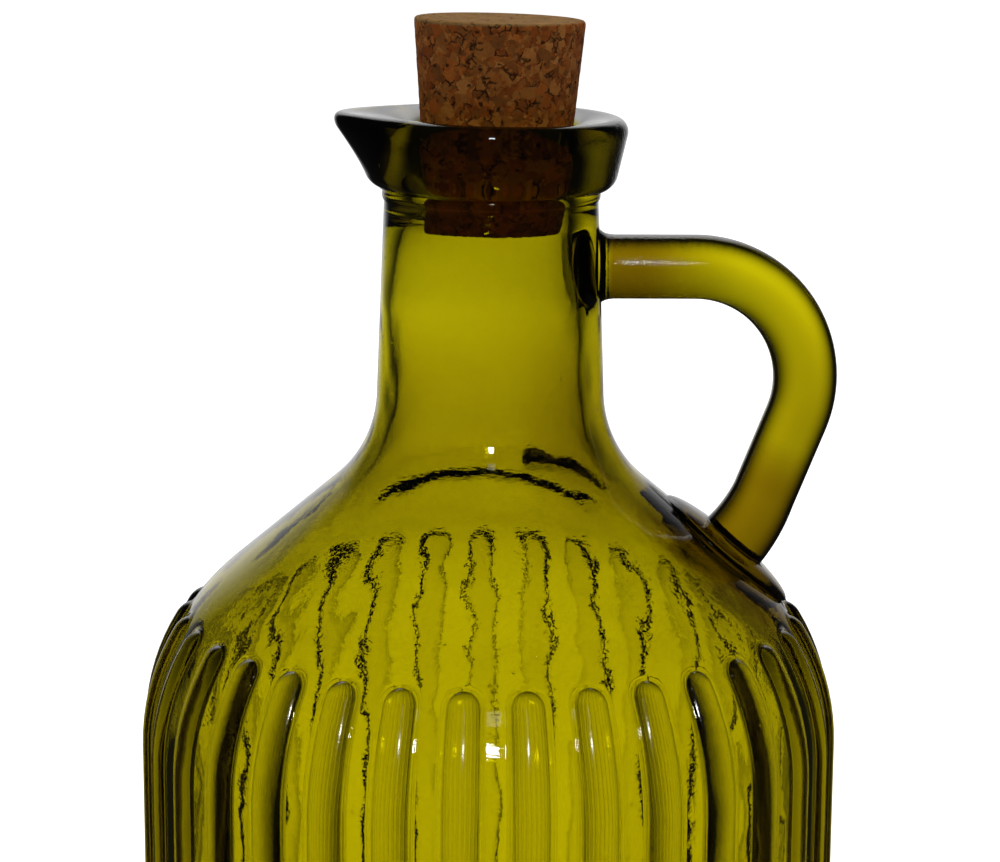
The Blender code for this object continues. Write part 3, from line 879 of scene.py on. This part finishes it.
# Directions in the room are in degrees: the rise above the horizon, and the side, which is 0 at +Y
# and grows towards +X.
BACKDROP = 1.2  # as seen past the cruet
GLOW = 1.87  # of the lit part behind the cruet, through the glass
GLOW_SIDE = 3.0
GLOW_EDGE = (11.0, 55.0)
GLOW_RISE = -19.0  # above this it fades
GLOW_FADE = 45.0
GLOW_FOOT = (-52.0, -22.0)
FLANKS = 0.7  # light for the glass when it is seen from its side or its back
FLANKS_SIDE = (70.0, 88.0)
FLANKS_TOP = (30.0, 50.0)
TABLE = 0.5  # light from under the cruet
TABLE_TOP = (-70.0, -55.0)
MIRROR_SIDE = -2.0
MIRROR_EDGE = (12.0, 38.0)
MIRROR_RISE = (-18.0, -6.0, 42.0, 54.0)
MIRROR_UPPER = (14.0, 26.0)


def ray(wire, fact):
    """What the light path says of a ray."""
    return wire.node("ShaderNodeLightPath", {}, {}, fact)


def room_light():
    world = bpy.data.worlds.new("studio")
    bpy.context.scene.world = world
    world.use_nodes = True
    sky = world.node_tree.nodes["Background"]
    sky.inputs["Color"].default_value = WHITE
    direction = Wire(world.node_tree.nodes.new("ShaderNodeTexCoord").outputs["Generated"])
    x, y, z = direction.parts()
    rise = z.math("ARCSINE") * (180 / math.pi)
    side = x.math("ARCTAN2", y) * (180 / math.pi)
    lobe = 1.0 - (side - GLOW_SIDE).math("ABSOLUTE").ramp(*GLOW_EDGE)
    fall = ((rise.math("MAXIMUM", GLOW_RISE) - GLOW_RISE) * (-1 / GLOW_FADE)).math("EXPONENT")
    glow = lobe * fall * rise.ramp(*GLOW_FOOT) * GLOW
    flanks = side.math("ABSOLUTE").ramp(*FLANKS_SIDE) * (1.0 - rise.ramp(*FLANKS_TOP)) * FLANKS
    table = (1.0 - rise.ramp(*TABLE_TOP)) * TABLE
    direct = 1.0 - ray(direction, "Glossy Depth").math("MINIMUM", 1.0)
    room = glow + (flanks + table) * direct + 0.02
    narrow = 1.0 - (side - MIRROR_SIDE).math("ABSOLUTE").ramp(*MIRROR_EDGE)
    mirrored = narrow * rise.band(*MIRROR_RISE)
    mirrored = mirrored * (0.85 + 0.6 * rise.ramp(*MIRROR_UPPER)) + 0.015
    seen = ray(direction, "Is Camera Ray")
    through = ray(direction, "Is Transmission Ray")
    lit = ray(direction, "Diffuse Depth").math("MINIMUM", 1.0)
    in_glass = through * room + (1.0 - through) * mirrored
    around = 0.3 + through * 2.3
    unseen = lit * around + (1.0 - lit) * in_glass
    connect(seen * BACKDROP + (1.0 - seen) * unseen, sky, "Strength")


room_light()

AIM = (0.0, 0.0, 0.1)
LAMP_DISTANCE = 1.5
FRONT_LAMPS = (  # name, rise in degrees, width and height in metres, radiance
    ("lamp", 25, 0.13, 0.10, 60.0),
    ("window", 40, 0.15, 0.16, 1.6),
)


def soft_light(name, place, width, height, radiance):
    """A rectangle of light at a place, facing the cruet, all in metres."""
    data = bpy.data.lights.new(name, "AREA")
    data.shape = "RECTANGLE"
    data.size, data.size_y = width, height
    data.energy = radiance * math.pi * width * height
    made = bpy.data.objects.new(name, data)
    bpy.context.scene.collection.objects.link(made)
    made.location = place
    made.rotation_euler = (Vector(AIM) - Vector(place)).to_track_quat("-Z", "Y").to_euler()
    return made


overhead = soft_light("overhead", (0.0, 0.3, 1.7), 1.3, 1.3, 3.0)
overhead.visible_glossy = False
overhead.visible_transmission = False
for name, degrees, width, height, radiance in FRONT_LAMPS:
    up = math.radians(degrees)
    place = (0.0, -LAMP_DISTANCE * math.cos(up), AIM[2] + LAMP_DISTANCE * math.sin(up))
    soft_light(name, place, width, height, radiance).visible_diffuse = False

# The camera stands in front, a little higher than the mouth, and looks slightly down.
CAMERA_PLACE = (-6.63 * MM, -404.18 * MM, 224.19 * MM)
CAMERA_HEADING = math.radians(-1.141)
CAMERA_TIP = math.radians(78.133)  # from looking straight down
CAMERA_ROLL = math.radians(0.351)

camera_data = bpy.data.cameras.new("camera")
camera_data.lens = 104.23
camera_data.sensor_width = 36.0
camera_data.sensor_fit = "HORIZONTAL"
camera_data.clip_start = 0.01
camera = bpy.data.objects.new("camera", camera_data)
bpy.context.scene.collection.objects.link(camera)
heading = Matrix.Rotation(CAMERA_HEADING, 4, "Z")
tip = Matrix.Rotation(CAMERA_TIP, 4, "X")
roll = Matrix.Rotation(CAMERA_ROLL, 4, "Z")
camera.matrix_world = Matrix.Translation(CAMERA_PLACE) @ heading @ tip @ roll
bpy.context.scene.camera = camera

view = bpy.context.scene.view_settings
view.view_transform = "Standard"
view.look = "None"
cycles = bpy.context.scene.cycles
cycles.max_bounces = 24
cycles.transmission_bounces = 24
cycles.glossy_bounces = 8
cycles.sample_clamp_indirect = 6.0
